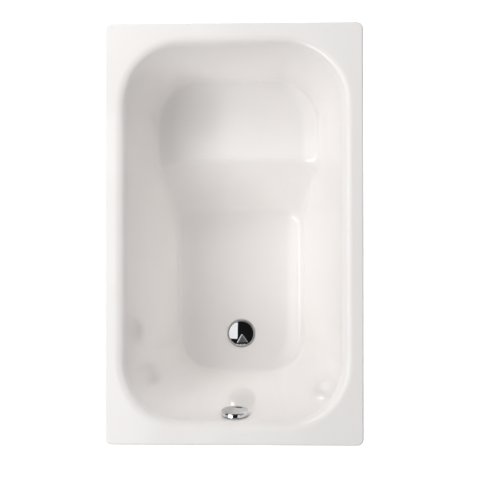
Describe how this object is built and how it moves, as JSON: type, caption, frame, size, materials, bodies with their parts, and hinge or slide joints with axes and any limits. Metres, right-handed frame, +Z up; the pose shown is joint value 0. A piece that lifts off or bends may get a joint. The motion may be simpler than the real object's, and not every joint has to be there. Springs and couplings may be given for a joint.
{
  "type": "sitz bath",
  "caption": "Short stepped steel bath with a raised seat, a deep foot well, pop-up waste with turning overflow knob, trap and adjustable leg frame.",
  "frame": {"origin": "on the floor, under the middle of the rim", "axes": "+X to the bath's right, +Y towards the head (seat) end along the length, +Z up"},
  "size_m": [0.65, 1.06, 0.58],
  "materials": {
    "enamel": "vitreous enamel, gloss white",
    "galvanised_steel": "hot dip galvanised",
    "zinc_fastener": "zinc plated",
    "stainless_steel": "pressed stainless steel",
    "chrome": "polished chrome plating",
    "brass_spindle": "turned brass",
    "seal_rubber": "moulded EPDM",
    "bitumen_sheet": "bitumen sound deadening sheet",
    "grey_plastic": "moulded polypropylene",
    "white_plastic": "moulded polypropylene",
    "black_plastic": "moulded polyamide"
  },
  "bodies": {
    "bath": {"bath_shell": "enamel", "bonding_lug": "galvanised_steel", "seat_pad": "bitumen_sheet", "floor_pad": "bitumen_sheet", "back_pad": "bitumen_sheet", "side_pad_left": "bitumen_sheet", "side_pad_right": "bitumen_sheet", "foot_rail": "galvanised_steel", "seat_rail": "galvanised_steel", "post_left": "galvanised_steel", "post_right": "galvanised_steel", "leg_brace": "galvanised_steel", "rail_caps": "black_plastic", "weld_studs": "zinc_fastener", "stud_washers": "zinc_fastener", "stud_nuts": "zinc_fastener", "spindle_nuts": "zinc_fastener", "lock_nuts": "zinc_fastener", "waste_flange": "stainless_steel", "waste_seal_upper": "seal_rubber", "waste_seal_lower": "seal_rubber", "waste_screws": "stainless_steel", "waste_pot": "grey_plastic", "lever_pin": "stainless_steel", "overflow_body": "grey_plastic", "overflow_seal": "seal_rubber", "overflow_cover": "stainless_steel", "overflow_screws": "stainless_steel", "overflow_pipe": "white_plastic", "pipe_nut_top": "black_plastic", "pipe_nut_bottom": "black_plastic", "pipe_seals": "seal_rubber", "control_cable": "black_plastic", "cable_clips": "white_plastic", "trap_body": "white_plastic", "trap_nut": "black_plastic", "trap_seal": "seal_rubber", "outlet_nut": "black_plastic", "outlet_seal": "seal_rubber", "outlet_pipe": "white_plastic"},
    "knob": {"overflow_knob": "chrome", "knob_spindle": "brass_spindle", "cable_drum": "white_plastic"},
    "plug": {"plug_cap": "chrome", "plug_seal": "seal_rubber", "plug_stem": "white_plastic"},
    "lever": {"lift_lever": "white_plastic"},
    "foot_left_pad": {"pad_foot_left": "black_plastic"},
    "foot_left_spindle": {"spindle_foot_left": "zinc_fastener"},
    "foot_right_pad": {"pad_foot_right": "black_plastic"},
    "foot_right_spindle": {"spindle_foot_right": "zinc_fastener"},
    "seat_left_pad": {"pad_seat_left": "black_plastic"},
    "seat_left_spindle": {"spindle_seat_left": "zinc_fastener"},
    "seat_right_pad": {"pad_seat_right": "black_plastic"},
    "seat_right_spindle": {"spindle_seat_right": "zinc_fastener"}
  },
  "joints": [
    {"name": "knob_turn", "type": "hinge", "parent": "bath", "child": "knob", "pos_m": [0, -0.45904, 0.52], "axis": [0, 0.9703, 0.2419], "range_deg": [0, 75]},
    {"name": "plug_lift", "type": "slide", "parent": "bath", "child": "plug", "axis": [0, 0, 1], "range_m": [0, 0.0102]},
    {"name": "lever_tilt", "type": "hinge", "parent": "bath", "child": "lever", "pos_m": [0, -0.28922, 0.1213], "axis": [1, 0, 0], "range_deg": [0, 25.71]},
    {"name": "foot_left_height", "type": "slide", "parent": "bath", "child": "foot_left_pad", "axis": [0, 0, -1], "range_m": [-0.006, 0.03]},
    {"name": "foot_left_turn", "type": "hinge", "parent": "foot_left_pad", "child": "foot_left_spindle", "pos_m": [-0.19, -0.19822, 0.014], "axis": [0, 0, -1], "range_deg": [-1468.8, 7344]},
    {"name": "foot_right_height", "type": "slide", "parent": "bath", "child": "foot_right_pad", "axis": [0, 0, -1], "range_m": [-0.006, 0.03]},
    {"name": "foot_right_turn", "type": "hinge", "parent": "foot_right_pad", "child": "foot_right_spindle", "pos_m": [0.19, -0.19822, 0.014], "axis": [0, 0, -1], "range_deg": [-1468.8, 7344]},
    {"name": "seat_left_height", "type": "slide", "parent": "bath", "child": "seat_left_pad", "axis": [0, 0, -1], "range_m": [-0.006, 0.03]},
    {"name": "seat_left_turn", "type": "hinge", "parent": "seat_left_pad", "child": "seat_left_spindle", "pos_m": [-0.19, 0.285, 0.014], "axis": [0, 0, -1], "range_deg": [-1468.8, 7344]},
    {"name": "seat_right_height", "type": "slide", "parent": "bath", "child": "seat_right_pad", "axis": [0, 0, -1], "range_m": [-0.006, 0.03]},
    {"name": "seat_right_turn", "type": "hinge", "parent": "seat_right_pad", "child": "seat_right_spindle", "pos_m": [0.19, 0.285, 0.014], "axis": [0, 0, -1], "range_deg": [-1468.8, 7344]}
  ],
  "couplings": [
    {"joint": "plug_lift", "follows": "knob_turn", "m_per_rad": 0.0076394},
    {"joint": "lever_tilt", "follows": "knob_turn", "ratio": 0.33614},
    {"joint": "foot_left_turn", "follows": "foot_left_height", "rad_per_m": 4188.8},
    {"joint": "foot_right_turn", "follows": "foot_right_height", "rad_per_m": 4188.8},
    {"joint": "seat_left_turn", "follows": "seat_left_height", "rad_per_m": 4188.8},
    {"joint": "seat_right_turn", "follows": "seat_right_height", "rad_per_m": 4188.8}
  ]
}
